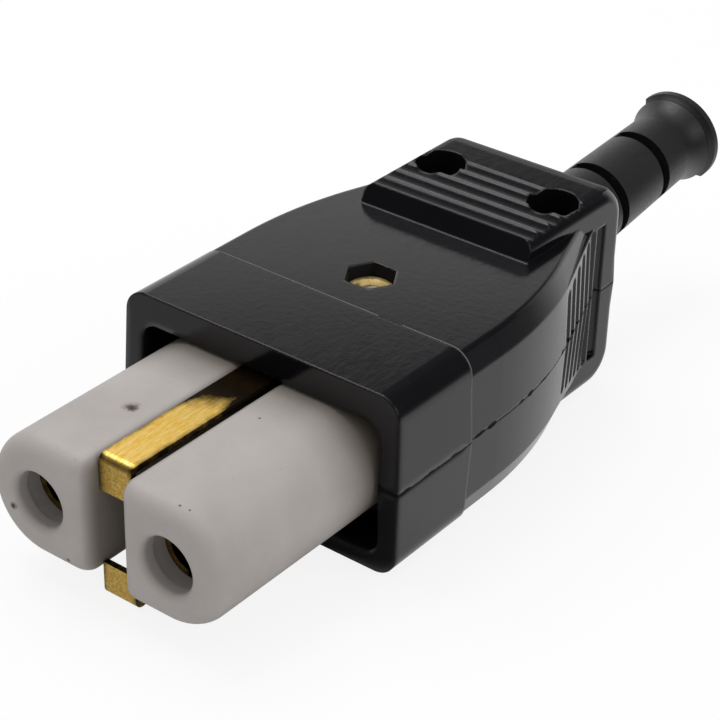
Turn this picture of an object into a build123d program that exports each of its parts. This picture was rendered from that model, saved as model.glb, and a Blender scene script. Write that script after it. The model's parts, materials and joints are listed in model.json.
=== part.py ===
import os
from math import cos, radians, sin, tan

from build123d import *

os.makedirs("parts", exist_ok=True)

# A hot appliance plug: two ceramic barrels with brass sockets, sprung earth
# strips above and below, a two-part moulded shell and a rubber cord guard.
# X runs across, -Y is the way the plug is pushed on, +Z is up.
# A station is a distance in millimetres back from the tips of the barrels.

# Driving dimensions of the connection
pin_pitch = 19.0
pin_diameter = 6.0
barrel_radius = 7.7
barrel_gap = 5.0
barrel_corner = 1.5
barrel_nose = 2.4
barrel_length = 42.35
bore_diameter = 7.0
bore_lip = 0.9
bore_depth = 4.2
bore_step = 2.0
bore_step_growth = 0.3
neck_length = 3.0
neck_relief = 1.1
neck_setback = 8.5

# Driving dimensions of the shells
wall = 2.5
collar_length = 14.4
collar_wall = 2.8
collar_step = 0.3
collar_draft = 2.0
collar_edge = 3.0
mouth_depth = 7.7
mouth_side_play = 0.7
mouth_top_play = 0.2
mouth_extra_drop = 1.6
mouth_corner = 2.5
body_inset = 0.35
body_draft = 2.0
bevel_height = 3.2
bevel_draft = 20.0
bevel_edge = 0.5
shoulder_radius = 58.0
shoulder_turn = 18.8
shell_tail = 42.5
post_length = 6.3
block_inset = 7.5
block_edge = 1.8
rear_rim = 4.8
cheek_start = 20.0
cheek_rise = 2.8
pad_rise = 2.8
pad_length = 22.6
pad_slope = 1.0
chamber_rise = 1.2
chamber_length = 19.5
chamber_taper_start = 8.5
chamber_taper = 3.7

# Grip ribs on the pad and along the sides
ridge_start = 1.0
ridge_pitch = 2.57
ridge_count = 6
ridge_groove = 1.6
ridge_lift = 1.1
rib_start = 12.0
rib_pitch = 2.2
rib_count = 6
rib_groove = 0.75
rib_low_top = 6.8
rib_top_rise = 0.5
waist_groove = 1.0

# Fasteners
screw_diameter = 3.0
screw_hole = 3.4
nut_flats = 5.5
nut_thickness = 2.4
nut_play = 0.4
nut_sink = 1.6
centre_setback = 5.3
head_diameter = 5.6
head_height = 2.0
head_sink = 1.4
head_slot = 0.8
slot_depth = 0.9
head_edge = 0.3
screw_overrun = 0.3
screw_shortfall = 0.6
column_radius = 2.9
boss_radius = 4.5
boss_drop = 2.5
rear_screw_end = 11.1
rear_screw_inset = 4.1
counterbore_diameter = 6.7
counterbore_depth = 9.5
rear_nut_sink = 3.6

# Brass sockets and their terminals
tube_wall = 1.0
tube_slit = 1.0
tube_slit_length = 24.0
tube_foot = 6.0
spring_wall = 0.5
spring_length = 5.0
spring_gap = 2.0
spring_setback = 3.5
terminal_width = 7.4
terminal_height = 7.2
terminal_length = 11.0
wire_hole = 3.2
wire_hole_depth = 9.0
terminal_screw_diameter = 3.5
terminal_head_diameter = 5.4
terminal_head_height = 1.8

# Earth strips and their terminal
strip_width = 4.8
strip_thickness = 0.8
strip_rise = 0.3
strip_front = 2.75
strip_hook = 4.6
strip_bend = 0.7
strip_setback = 2.0
strip_splay = 3.0
earth_plate_thickness = 1.0
earth_plate_width = 9.6
earth_plate_tail = 11.2
earth_leg_height = 6.4
rivet_lift = 3.4
rivet_diameter = 2.0
rivet_head = 3.6
rivet_head_height = 0.7
earth_screw_setback = 7.6
washer_width = 7.0
washer_thickness = 1.0

# Cord clamp and rubber guard
cord_diameter = 6.8
channel_radius = 4.3
clamp_setback = 3.6
clamp_length = 4.6
clamp_inset = 3.05
clamp_height = 5.0
clamp_screw_inset = 2.8
clamp_screw_depth = 7.0
clamp_room = 8.6
guard_seat = 4.5
guard_lean = 5.4
guard_length = 40.8
guard_root_radius = 6.0
guard_tip_radius = 5.35
guard_rim_radius = 6.9
guard_rim_length = 1.8
guard_neck_radius = 5.6
exit_play = 0.4
flare_radius = 6.9
flare_length = 4.6
flare_lip = 0.9
lobe_step = 0.6
guard_roll = 45.0
slot_width = 1.8
slot_first = 18.0
slot_pitch = 11.0
slot_count = 2
slot_web = 2.4

# Clearances, and how far a cut or a joined form reaches past a face
seat_gap = 0.3
fit_gap = 0.05
spring_play = 0.4
reach_over = 1.0

# Stations and sizes that follow from those above
neck_station = barrel_length - neck_setback
collar_front = neck_station - mouth_depth
strip_back = barrel_length - strip_setback
centre_station = barrel_length + centre_setback
earth_screw_station = centre_station + earth_screw_setback
earth_plate_end = centre_station + earth_plate_tail
block_end = barrel_length + shell_tail
pad_front = block_end - pad_length
ridge_first = pad_front + ridge_start
rear_screw_station = block_end - rear_screw_end
waist_station = block_end - post_length
cheek_station = block_end - cheek_start
rib_first = waist_station - rib_start
chamber_end = barrel_length + chamber_length
chamber_taper_station = barrel_length + chamber_taper_start
clamp_station = chamber_end + clamp_setback
guard_pivot = block_end - guard_seat
strip_height = barrel_radius + strip_rise
chamber_height = strip_height + chamber_rise
body_height = chamber_height + wall
collar_height = body_height + collar_step
block_height = body_height + pad_rise
upper_mouth_height = strip_height + mouth_top_play
lower_mouth_height = upper_mouth_height + mouth_extra_drop
mouth_half_width = pin_pitch / 2 + barrel_radius + mouth_side_play
collar_half_width = mouth_half_width + collar_wall
body_half_width = collar_half_width - body_inset
block_half_width = body_half_width - block_inset
chamber_half_width = pin_pitch / 2 + barrel_radius + seat_gap
chamber_end_half_width = chamber_half_width - chamber_taper
rear_screw_spread = 2 * (block_half_width - rear_screw_inset)
clamp_half_width = block_half_width - clamp_inset
clamp_screw_spread = 2 * (clamp_half_width - clamp_screw_inset)
lean_cos = cos(radians(guard_lean))
lean_sin = sin(radians(guard_lean))
overall_length = guard_pivot + guard_length * lean_cos + flare_radius * lean_sin
tip_y = -overall_length / 2
parting_z = block_height
half_pitch = pin_pitch / 2
flat_offset = half_pitch - barrel_gap / 2
tube_inner = pin_diameter / 2
tube_outer = tube_inner + tube_wall
socket_bore = tube_outer + spring_wall + spring_play
collar_back = collar_front + collar_length
neck_back = neck_station + neck_length
turn_sin = sin(radians(shoulder_turn))
turn_cos = cos(radians(shoulder_turn))
flank_start_x = body_half_width - shoulder_radius * (1 - turn_cos)
flank_run = (flank_start_x - block_half_width) / tan(radians(shoulder_turn))
flank_start = waist_station - flank_run
shoulder_station = flank_start - shoulder_radius * turn_sin
nut_radius = nut_flats / 2 / cos(radians(30))
recess_radius = (nut_flats + nut_play) / 2 / cos(radians(30))
rim_front = guard_pivot - guard_rim_length - seat_gap
exit_front_radius = guard_neck_radius + exit_play
exit_lean = (block_end - guard_pivot) * tan(radians(guard_lean))
exit_back_radius = guard_root_radius + exit_play + exit_lean
guard_origin = Vector(0, tip_y + guard_pivot, parting_z)
guard_axis = Vector(0, lean_cos, lean_sin)
terminal_station = barrel_length + terminal_length / 2
strip_mid = strip_height - strip_thickness / 2


def along(station):
    return tip_y + station


def section_plane(station, x=0.0, lift=0.0):
    """A plane across the plug that faces back along it, with local y up."""
    origin = (x, along(station), parting_z + lift)
    return Plane(origin=origin, x_dir=(-1, 0, 0), z_dir=(0, 1, 0))


def half_plane(side, height=0.0):
    """A level plane at a height inside the upper (1) or lower (-1) shell, facing outwards."""
    origin = (0, 0, parting_z + side * height)
    return Plane(origin=origin, x_dir=(side, 0, 0), z_dir=(0, 0, side))


def flank_x(station):
    """Half the width of the body where its sides run straight in towards the block."""
    return flank_start_x - (station - flank_start) * tan(radians(shoulder_turn))


def barrel_profile(side, grow=0.0):
    """The barrel's section: round outside, with a flat and two soft corners at the gap."""
    radius = barrel_radius + grow
    flat = flat_offset + grow
    with BuildSketch(mode=Mode.PRIVATE) as profile:
        Circle(radius)
        with Locations((side * (flat + radius), 0)):
            Rectangle(2 * radius, 2 * radius, mode=Mode.SUBTRACT)
        with Locations((side * flat / 2, 0)):
            Rectangle(flat, 2 * radius)
        gap_corners = profile.vertices().group_by(Axis.X)[-1 if side > 0 else 0]
        fillet(gap_corners, barrel_corner + max(grow, -barrel_corner / 2))
    return profile.sketch


def guard_plane(distance):
    """A plane across the leaning guard at a distance behind its pivot, with local y up."""
    origin = guard_origin + guard_axis * distance
    return Plane(origin=origin, x_dir=(-1, 0, 0), z_dir=guard_axis)


def guard_side(roll):
    """A plane that holds the guard's axis, local x along it and local y out at a roll angle."""
    out = Vector(-cos(radians(roll)), -lean_sin * sin(radians(roll)), lean_cos * sin(radians(roll)))
    return Plane(origin=guard_origin, x_dir=guard_axis, z_dir=guard_axis.cross(out))


def make_outer_form():
    """The solid outer form of the upper half; the lower half is its mirror image."""
    with BuildPart() as form:
        # Body with drafted sides, a steeper bevel and a soft edge round its face
        with BuildSketch(half_plane(1)):
            with BuildLine():
                front = (body_half_width, along(collar_back - bevel_height))
                shoulder = (body_half_width, along(shoulder_station))
                waist = (block_half_width, along(waist_station))
                rear = (block_half_width, along(block_end - reach_over))
                Line((0, along(collar_back - bevel_height)), front)
                Line(front, shoulder)
                arc = JernArc(shoulder, (0, 1), shoulder_radius, shoulder_turn)
                Line(arc @ 1, waist)
                Line(waist, rear)
                Line(rear, (0, along(block_end - reach_over)))
                mirror(about=Plane.YZ)
            make_face()
        extrude(amount=body_height - bevel_height, taper=body_draft)
        levels = form.faces().filter_by(Axis.Z).sort_by(Axis.Z)
        extrude(levels[-1], amount=bevel_height, taper=bevel_draft)
        face_edges = form.edges().group_by(Axis.Z)[-1]
        fillet(face_edges, bevel_edge)

        # Collar round the mouth, its long edges well rounded
        with BuildSketch(half_plane(1)):
            with Locations((0, along(collar_front + collar_length / 2))):
                Rectangle(2 * collar_half_width, collar_length)
        extrude(amount=collar_height, taper=collar_draft)
        collar_top = form.edges().group_by(Axis.Z)[-1]
        fillet(collar_top.filter_by(Axis.Y), collar_edge)

        # Cheeks that fill the bevel beside the ribs, up to a line that rises to the rear
        with BuildPart(mode=Mode.PRIVATE) as cheeks:
            with BuildSketch(half_plane(1)):
                with BuildLine():
                    cheek_front = (flank_x(cheek_station), along(cheek_station))
                    Polyline((0, along(cheek_station)), cheek_front, waist, rear, (0, rear[1]))
                    mirror(about=Plane.YZ)
                make_face()
            extrude(amount=body_height, taper=body_draft)
            with BuildSketch(Plane.YZ):
                bevel_base = body_height - bevel_height
                with BuildLine():
                    Polyline(
                        (along(cheek_station - wall), parting_z + bevel_base),
                        (along(cheek_station), parting_z + bevel_base),
                        (along(block_end), parting_z + (bevel_base + cheek_rise)),
                        (along(block_end), parting_z + block_height),
                        (along(cheek_station - wall), parting_z + block_height),
                        close=True,
                    )
                make_face()
            extrude(amount=body_half_width, both=True, mode=Mode.SUBTRACT)
        add(cheeks.part)

        # Rear block, its pad standing above the body's face behind a sloping front
        with BuildPart(mode=Mode.PRIVATE) as block:
            with BuildSketch(Plane.YZ.offset(-block_half_width)):
                with BuildLine():
                    rim_start = (along(block_end - rear_rim), parting_z + block_height)
                    rim_end = (along(block_end), parting_z + (block_height - rear_rim))
                    Polyline(
                        (along(block_end), parting_z),
                        (along(pad_front), parting_z),
                        (along(pad_front), parting_z + body_height),
                        (along(pad_front + pad_slope), parting_z + block_height),
                        rim_start,
                    )
                    TangentArc(rim_start, rim_end, tangent=(1, 0))
                    Line(rim_end, (along(block_end), parting_z))
                make_face()
            extrude(amount=2 * block_half_width)
            top_edges = block.edges().group_by(Axis.Z)[-1].filter_by(Axis.Y)
            rim_edges = block.edges().filter_by(GeomType.CIRCLE)
            corner_edges = block.edges().filter_by(Axis.Z).group_by(Axis.Y)[-1]
            fillet(top_edges + rim_edges + corner_edges, block_edge)
        add(block.part)

        # Grip ridges across the pad, left standing between round grooves
        for index in range(ridge_count - 1):
            station = ridge_first + (index + 0.5) * ridge_pitch
            with BuildSketch(Plane.YZ.offset(-block_half_width - reach_over)):
                with Locations((along(station), parting_z + (block_height + ridge_lift))):
                    Circle(ridge_groove)
            extrude(amount=2 * (block_half_width + reach_over), mode=Mode.SUBTRACT)

        # Side ribs, left standing between upright grooves with round ends
        for index in range(rib_count):
            station = rib_first + index * rib_pitch
            top = rib_low_top + index * rib_top_rise
            with BuildPart(mode=Mode.PRIVATE) as groove:
                Cylinder(rib_groove, top, align=(Align.CENTER, Align.CENTER, Align.MIN))
                with Locations((0, 0, top)):
                    Sphere(rib_groove)
            for hand in (1, -1):
                with Locations((hand * flank_x(station), along(station), parting_z)):
                    add(groove.part, mode=Mode.SUBTRACT)

        # Wide valley between the last rib and the rear post
        waist_top = rib_low_top + rib_count * rib_top_rise
        with BuildSketch(half_plane(1)):
            for hand in (1, -1):
                with Locations((hand * block_half_width, along(waist_station + waist_groove))):
                    Circle(waist_groove)
        extrude(amount=waist_top, mode=Mode.SUBTRACT)
    return form


outer_form = make_outer_form()


def make_shell(side, mouth_height, label):
    with BuildPart() as shell:
        if side > 0:
            add(outer_form.part)
        else:
            add(outer_form.part.mirror(Plane.XY.offset(parting_z)))

        # Mouth in front of the neck wall, which grips both barrels and lets the earth strips by
        with BuildSketch(section_plane(collar_front)):
            RectangleRounded(2 * mouth_half_width, 2 * mouth_height, mouth_corner)
        extrude(amount=neck_station - collar_front, mode=Mode.SUBTRACT)
        for hand in (1, -1):
            with BuildSketch(section_plane(neck_station, hand * half_pitch)):
                add(barrel_profile(hand, seat_gap - neck_relief))
            extrude(amount=neck_length, mode=Mode.SUBTRACT)
        with BuildSketch(section_plane(neck_station)):
            Rectangle(strip_width + 2 * seat_gap, 2 * (strip_height + seat_gap))
        extrude(amount=neck_length, mode=Mode.SUBTRACT)

        # Terminal chamber, clamp room and cord channel
        with BuildSketch(half_plane(side)):
            with BuildLine():
                Polyline(
                    (0, along(neck_back)),
                    (chamber_half_width, along(neck_back)),
                    (chamber_half_width, along(chamber_taper_station)),
                    (chamber_end_half_width, along(chamber_end)),
                    (0, along(chamber_end)),
                )
                mirror(about=Plane.YZ)
            make_face()
        extrude(amount=chamber_height, mode=Mode.SUBTRACT)
        if side > 0:
            with BuildSketch(half_plane(side)):
                with Locations((0, along(chamber_end + clamp_room / 2 - seat_gap))):
                    Rectangle(2 * (clamp_half_width + seat_gap), clamp_room - 2 * seat_gap)
            extrude(amount=clamp_height + head_height + seat_gap, mode=Mode.SUBTRACT)
        with BuildSketch(section_plane(chamber_end - reach_over)):
            Circle(channel_radius)
        extrude(amount=rim_front - chamber_end + reach_over, mode=Mode.SUBTRACT)

        # Pocket for the guard's rim, and the bell-mouthed way out behind it
        with BuildSketch(section_plane(rim_front)):
            Circle(guard_rim_radius + seat_gap)
        extrude(amount=guard_rim_length + 2 * seat_gap, mode=Mode.SUBTRACT)
        with BuildSketch(Plane.YZ):
            with BuildLine():
                Polyline(
                    (along(guard_pivot), parting_z),
                    (along(guard_pivot), parting_z + exit_front_radius),
                    (along(block_end) + fit_gap, parting_z + exit_back_radius),
                    (along(block_end) + fit_gap, parting_z),
                    close=True,
                )
            make_face()
        revolve(axis=Axis((0, 0, parting_z), (0, 1, 0)), mode=Mode.SUBTRACT)

        # Centre boss under the face, with a slim column down to the earth plate
        with BuildSketch(half_plane(side, chamber_height - boss_drop)):
            with Locations((0, along(centre_station))):
                Circle(boss_radius)
        extrude(amount=boss_drop + wall / 2)
        with BuildSketch(half_plane(side, earth_plate_thickness / 2)):
            with Locations((0, along(centre_station))):
                Circle(column_radius)
        extrude(amount=chamber_height - earth_plate_thickness / 2)

        # Screw holes, nut recesses and head recesses
        screw_places = [(0, centre_station)]
        screw_places += [(hand * rear_screw_spread / 2, rear_screw_station) for hand in (1, -1)]
        for x, station in screw_places:
            with BuildSketch(half_plane(side)):
                with Locations((side * x, along(station))):
                    Circle(screw_hole / 2)
            extrude(amount=block_height, mode=Mode.SUBTRACT)
        if side > 0:
            with BuildSketch(half_plane(side, body_height - nut_sink - nut_thickness)):
                with Locations((0, along(centre_station))):
                    RegularPolygon(recess_radius, 6)
            extrude(amount=nut_sink + nut_thickness, mode=Mode.SUBTRACT)
        else:
            with BuildSketch(half_plane(side, body_height - head_sink - head_height)):
                with Locations((0, along(centre_station))):
                    Circle(counterbore_diameter / 2)
            extrude(amount=head_sink + head_height, mode=Mode.SUBTRACT)
        for x, station in screw_places[1:]:
            if side > 0:
                with BuildSketch(half_plane(side, block_height - counterbore_depth)):
                    with Locations((x, along(station))):
                        Circle(counterbore_diameter / 2)
                extrude(amount=counterbore_depth, mode=Mode.SUBTRACT)
            else:
                with BuildSketch(half_plane(side, block_height - rear_nut_sink - nut_thickness)):
                    with Locations((x, along(station))):
                        RegularPolygon(recess_radius, 6)
                extrude(amount=rear_nut_sink + nut_thickness, mode=Mode.SUBTRACT)
                with BuildSketch(half_plane(side)):
                    with Locations((-x * clamp_screw_spread / rear_screw_spread, along(clamp_station))):
                        Circle(screw_diameter / 2)
                extrude(amount=clamp_screw_depth, mode=Mode.SUBTRACT)
    shell.part.label = label
    return shell


upper_shell = make_shell(1, upper_mouth_height, "upper_shell")
lower_shell = make_shell(-1, lower_mouth_height, "lower_shell")
export_step(upper_shell.part, "parts/upper_shell.step")
export_step(lower_shell.part, "parts/lower_shell.step")


def make_barrel(hand, label):
    x = hand * half_pitch
    with BuildPart() as barrel:
        # Long round body with a flat towards its neighbour and a well rounded nose
        with BuildSketch(section_plane(0, x)):
            add(barrel_profile(hand))
        extrude(amount=barrel_length)
        fillet(barrel.edges().group_by(Axis.Y)[0], barrel_nose)

        # Groove that the shells' neck wall grips
        with BuildSketch(section_plane(neck_station - seat_gap, x)):
            Circle(barrel_radius + wall)
            add(barrel_profile(hand, -neck_relief), mode=Mode.SUBTRACT)
        extrude(amount=neck_length + 2 * seat_gap, mode=Mode.SUBTRACT)

        # Entry for the pin, then the wider bore that holds the brass
        with BuildSketch(section_plane(0, x)):
            Circle(bore_diameter / 2)
        extrude(amount=bore_depth, mode=Mode.SUBTRACT)
        rims = barrel.edges().filter_by(GeomType.CIRCLE).filter_by(lambda edge: edge.is_closed)
        fillet(rims.group_by(Axis.Y)[0], bore_lip)
        with BuildSketch(section_plane(bore_step, x)):
            Circle(bore_diameter / 2 + bore_step_growth)
        extrude(amount=bore_depth - bore_step, mode=Mode.SUBTRACT)
        with BuildSketch(section_plane(bore_depth, x)):
            Circle(socket_bore)
        extrude(amount=barrel_length - bore_depth, mode=Mode.SUBTRACT)
    barrel.part.label = label
    return barrel


ceramic_barrel_left = make_barrel(-1, "ceramic_barrel_left")
ceramic_barrel_right = make_barrel(1, "ceramic_barrel_right")
export_step(ceramic_barrel_left.part, "parts/ceramic_barrel_left.step")
export_step(ceramic_barrel_right.part, "parts/ceramic_barrel_right.step")


def make_socket_contact(hand, label):
    x = hand * half_pitch
    with BuildPart() as contact:
        # Tube for the pin, with a thicker foot and the terminal block behind it
        with BuildSketch(section_plane(bore_depth + fit_gap, x)):
            Circle(tube_outer)
        extrude(amount=barrel_length - bore_depth - fit_gap)
        with BuildSketch(section_plane(barrel_length - tube_foot, x)):
            Circle(socket_bore - fit_gap)
        extrude(amount=tube_foot)
        with BuildSketch(section_plane(barrel_length, x)):
            Rectangle(terminal_width, terminal_height)
        extrude(amount=terminal_length)

        # Pin bore and the slit that lets the tube spring
        with BuildSketch(section_plane(bore_depth, x)):
            Circle(tube_inner)
        extrude(amount=barrel_length - bore_depth - tube_foot, mode=Mode.SUBTRACT)
        with BuildSketch(section_plane(bore_depth, x)):
            Rectangle(tube_slit, 2 * tube_outer + tube_slit)
        extrude(amount=tube_slit_length, mode=Mode.SUBTRACT)

        # Wire hole from behind and the screw's hole from above
        with BuildSketch(section_plane(barrel_length + terminal_length, x)):
            Circle(wire_hole / 2)
        extrude(amount=-wire_hole_depth, mode=Mode.SUBTRACT)
        with BuildSketch(half_plane(1)):
            with Locations((x, along(terminal_station))):
                Circle(terminal_screw_diameter / 2)
        extrude(amount=terminal_height, mode=Mode.SUBTRACT)
    contact.part.label = label
    return contact


socket_contact_left = make_socket_contact(-1, "socket_contact_left")
socket_contact_right = make_socket_contact(1, "socket_contact_right")
export_step(socket_contact_left.part, "parts/socket_contact_left.step")
export_step(socket_contact_right.part, "parts/socket_contact_right.step")


def make_contact_spring(hand, label):
    with BuildPart() as spring:
        # Open steel ring round the front of the tube
        with BuildSketch(section_plane(bore_depth + spring_setback, hand * half_pitch)):
            Circle(tube_outer + fit_gap + spring_wall)
            Circle(tube_outer + fit_gap, mode=Mode.SUBTRACT)
            with Locations((-hand * tube_outer, 0)):
                Rectangle(tube_outer, spring_gap, mode=Mode.SUBTRACT)
        extrude(amount=spring_length)
    spring.part.label = label
    return spring


contact_spring_left = make_contact_spring(-1, "contact_spring_left")
contact_spring_right = make_contact_spring(1, "contact_spring_right")
export_step(contact_spring_left.part, "parts/contact_spring_left.step")
export_step(contact_spring_right.part, "parts/contact_spring_right.step")


def make_screw(side, x, station, seat, head, shank, length, label):
    """A slotted screw whose head stands on the seat and faces up (1) or down (-1)."""
    diameter, height = head
    with BuildPart() as screw:
        with BuildSketch(half_plane(side, seat)):
            with Locations((side * x, along(station))):
                Circle(diameter / 2)
        extrude(amount=height)
        fillet(screw.edges().group_by(Axis.Z, reverse=side < 0)[-1], head_edge)
        with BuildSketch(half_plane(side, seat)):
            with Locations((side * x, along(station))):
                Circle(shank / 2)
        extrude(amount=-length)
        with BuildSketch(half_plane(side, seat + height - slot_depth)):
            with Locations((side * x, along(station))):
                Rectangle(diameter + head_slot, head_slot)
        extrude(amount=slot_depth, mode=Mode.SUBTRACT)
    screw.part.label = label
    return screw


def make_nut(side, x, station, seat, label):
    """A hexagon nut that lies in its recess with its outer face away from the parting line."""
    with BuildPart() as nut:
        with BuildSketch(half_plane(side, seat)):
            with Locations((side * x, along(station))):
                RegularPolygon(nut_radius, 6)
                Circle(screw_diameter / 2, mode=Mode.SUBTRACT)
        extrude(amount=nut_thickness)
    nut.part.label = label
    return nut


shell_head = (head_diameter, head_height)
terminal_head = (terminal_head_diameter, terminal_head_height)
terminal_seat = terminal_height / 2
terminal_grip = terminal_seat - wire_hole / 4
rear_x = rear_screw_spread / 2
clamp_x = clamp_screw_spread / 2

# Terminal screws, their tips in the wire holes
terminal_screw_left = make_screw(
    1, -half_pitch, terminal_station, terminal_seat, terminal_head,
    terminal_screw_diameter, terminal_grip, "terminal_screw_left",
)
terminal_screw_right = make_screw(
    1, half_pitch, terminal_station, terminal_seat, terminal_head,
    terminal_screw_diameter, terminal_grip, "terminal_screw_right",
)
export_step(terminal_screw_left.part, "parts/terminal_screw_left.step")
export_step(terminal_screw_right.part, "parts/terminal_screw_right.step")

# Centre screw from below, with its nut in the hexagon recess on top
centre_seat = body_height - head_sink - head_height
centre_nut_seat = body_height - nut_sink - nut_thickness
centre_reach = centre_seat + centre_nut_seat + nut_thickness - screw_shortfall
centre_screw = make_screw(
    -1, 0, centre_station, centre_seat, shell_head,
    screw_diameter, centre_reach, "centre_screw",
)
centre_nut = make_nut(1, 0, centre_station, centre_nut_seat, "centre_nut")
export_step(centre_screw.part, "parts/centre_screw.step")
export_step(centre_nut.part, "parts/centre_nut.step")

# Rear screws from above, with their nuts in the lower shell
rear_seat = block_height - counterbore_depth
rear_nut_seat = block_height - rear_nut_sink - nut_thickness
rear_reach = rear_seat + rear_nut_seat + nut_thickness + screw_overrun
rear_screw_left = make_screw(
    1, -rear_x, rear_screw_station, rear_seat, shell_head,
    screw_diameter, rear_reach, "rear_screw_left",
)
rear_screw_right = make_screw(
    1, rear_x, rear_screw_station, rear_seat, shell_head,
    screw_diameter, rear_reach, "rear_screw_right",
)
rear_nut_left = make_nut(-1, -rear_x, rear_screw_station, rear_nut_seat, "rear_nut_left")
rear_nut_right = make_nut(-1, rear_x, rear_screw_station, rear_nut_seat, "rear_nut_right")
export_step(rear_screw_left.part, "parts/rear_screw_left.step")
export_step(rear_screw_right.part, "parts/rear_screw_right.step")
export_step(rear_nut_left.part, "parts/rear_nut_left.step")
export_step(rear_nut_right.part, "parts/rear_nut_right.step")

# Earth contact, one strip bent into both spring arms with hooked tips
with BuildPart() as earth_contact:
    with BuildSketch(Plane.YZ):
        with BuildLine():
            tip_front = along(strip_front) + strip_thickness / 2
            web = along(strip_back) - strip_thickness / 2
            hook = strip_hook - strip_thickness / 2
            FilletPolyline(
                (tip_front, parting_z + strip_mid - hook),
                (tip_front, parting_z + strip_mid),
                (web, parting_z + strip_mid),
                (web, parting_z - strip_mid),
                (along(collar_front), parting_z - strip_mid),
                (tip_front, parting_z - strip_mid - strip_splay),
                (tip_front, parting_z - strip_mid - strip_splay + hook),
                radius=strip_bend,
            )
        trace(line_width=strip_thickness)
    extrude(amount=strip_width / 2, both=True)
    with BuildSketch(section_plane(strip_back, 0, rivet_lift)):
        Circle(rivet_diameter / 2)
    extrude(amount=-2 * strip_thickness, mode=Mode.SUBTRACT)
earth_contact.part.label = "earth_contact"
export_step(earth_contact.part, "parts/earth_contact.step")

# Earth plate, an angle with its leg on the strip's web and its tongue under the terminal
with BuildPart() as earth_plate:
    plate_bottom = -earth_plate_thickness / 2
    with BuildSketch(section_plane(strip_back, 0, plate_bottom + earth_leg_height / 2)):
        Rectangle(strip_width, earth_leg_height)
    extrude(amount=earth_plate_thickness)
    with BuildSketch(half_plane(1, plate_bottom)):
        with Locations((0, along(strip_back))):
            Rectangle(strip_width, barrel_length - strip_back + wall, align=(Align.CENTER, Align.MIN))
        with Locations((0, along(barrel_length + seat_gap))):
            Rectangle(
                earth_plate_width,
                earth_plate_end - barrel_length - seat_gap,
                align=(Align.CENTER, Align.MIN),
            )
    extrude(amount=earth_plate_thickness)
    with BuildSketch(half_plane(1, plate_bottom)):
        with Locations((0, along(centre_station))):
            Circle(screw_hole / 2)
        with Locations((0, along(earth_screw_station))):
            Circle(terminal_screw_diameter / 2)
    extrude(amount=earth_plate_thickness, mode=Mode.SUBTRACT)
    with BuildSketch(section_plane(strip_back, 0, rivet_lift)):
        Circle(rivet_diameter / 2)
    extrude(amount=earth_plate_thickness, mode=Mode.SUBTRACT)
earth_plate.part.label = "earth_plate"
export_step(earth_plate.part, "parts/earth_plate.step")

# Rivet through the web and the leg, with a head on each side
with BuildPart() as earth_rivet:
    rivet_front = strip_back - strip_thickness
    rivet_grip = strip_thickness + earth_plate_thickness
    with BuildSketch(section_plane(rivet_front, 0, rivet_lift)):
        Circle(rivet_diameter / 2)
    extrude(amount=rivet_grip)
    with BuildSketch(section_plane(rivet_front, 0, rivet_lift)):
        Circle(rivet_head / 2)
    extrude(amount=-rivet_head_height)
    with BuildSketch(section_plane(rivet_front + rivet_grip, 0, rivet_lift)):
        Circle(rivet_head / 2)
    extrude(amount=rivet_head_height)
    fillet(earth_rivet.edges().group_by(Axis.Y)[0], head_edge)
    fillet(earth_rivet.edges().group_by(Axis.Y)[-1], head_edge)
earth_rivet.part.label = "earth_rivet"
export_step(earth_rivet.part, "parts/earth_rivet.step")

# Square washer and screw of the earth terminal
washer_seat = earth_plate_thickness / 2
with BuildPart() as earth_washer:
    with BuildSketch(half_plane(1, washer_seat)):
        with Locations((0, along(earth_screw_station))):
            Rectangle(washer_width, washer_width)
            Circle(terminal_screw_diameter / 2, mode=Mode.SUBTRACT)
    extrude(amount=washer_thickness)
earth_washer.part.label = "earth_washer"
export_step(earth_washer.part, "parts/earth_washer.step")
earth_terminal_screw = make_screw(
    1, 0, earth_screw_station, washer_seat + washer_thickness, terminal_head,
    terminal_screw_diameter, 2 * (washer_thickness + earth_plate_thickness), "earth_terminal_screw",
)
export_step(earth_terminal_screw.part, "parts/earth_terminal_screw.step")

# Cord clamp bar with a hollow for the cord, and its two screws
with BuildPart() as cord_clamp_bar:
    with BuildSketch(section_plane(clamp_station - clamp_length / 2, 0, clamp_height / 2)):
        Rectangle(2 * clamp_half_width, clamp_height)
    extrude(amount=clamp_length)
    fillet(cord_clamp_bar.edges().filter_by(Axis.Z), head_edge)
    cord_centre = cord_diameter / 2 - channel_radius
    with BuildSketch(section_plane(clamp_station - clamp_length / 2, 0, cord_centre)):
        Circle(cord_diameter / 2)
    extrude(amount=clamp_length, mode=Mode.SUBTRACT)
    with BuildSketch(half_plane(1)):
        with Locations((-clamp_x, along(clamp_station)), (clamp_x, along(clamp_station))):
            Circle(screw_hole / 2)
    extrude(amount=clamp_height, mode=Mode.SUBTRACT)
cord_clamp_bar.part.label = "cord_clamp_bar"
export_step(cord_clamp_bar.part, "parts/cord_clamp_bar.step")
clamp_screw_left = make_screw(
    1, -clamp_x, clamp_station, clamp_height, shell_head,
    screw_diameter, clamp_height + clamp_screw_depth - seat_gap, "clamp_screw_left",
)
clamp_screw_right = make_screw(
    1, clamp_x, clamp_station, clamp_height, shell_head,
    screw_diameter, clamp_height + clamp_screw_depth - seat_gap, "clamp_screw_right",
)
export_step(clamp_screw_left.part, "parts/clamp_screw_left.step")
export_step(clamp_screw_right.part, "parts/clamp_screw_right.step")

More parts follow.
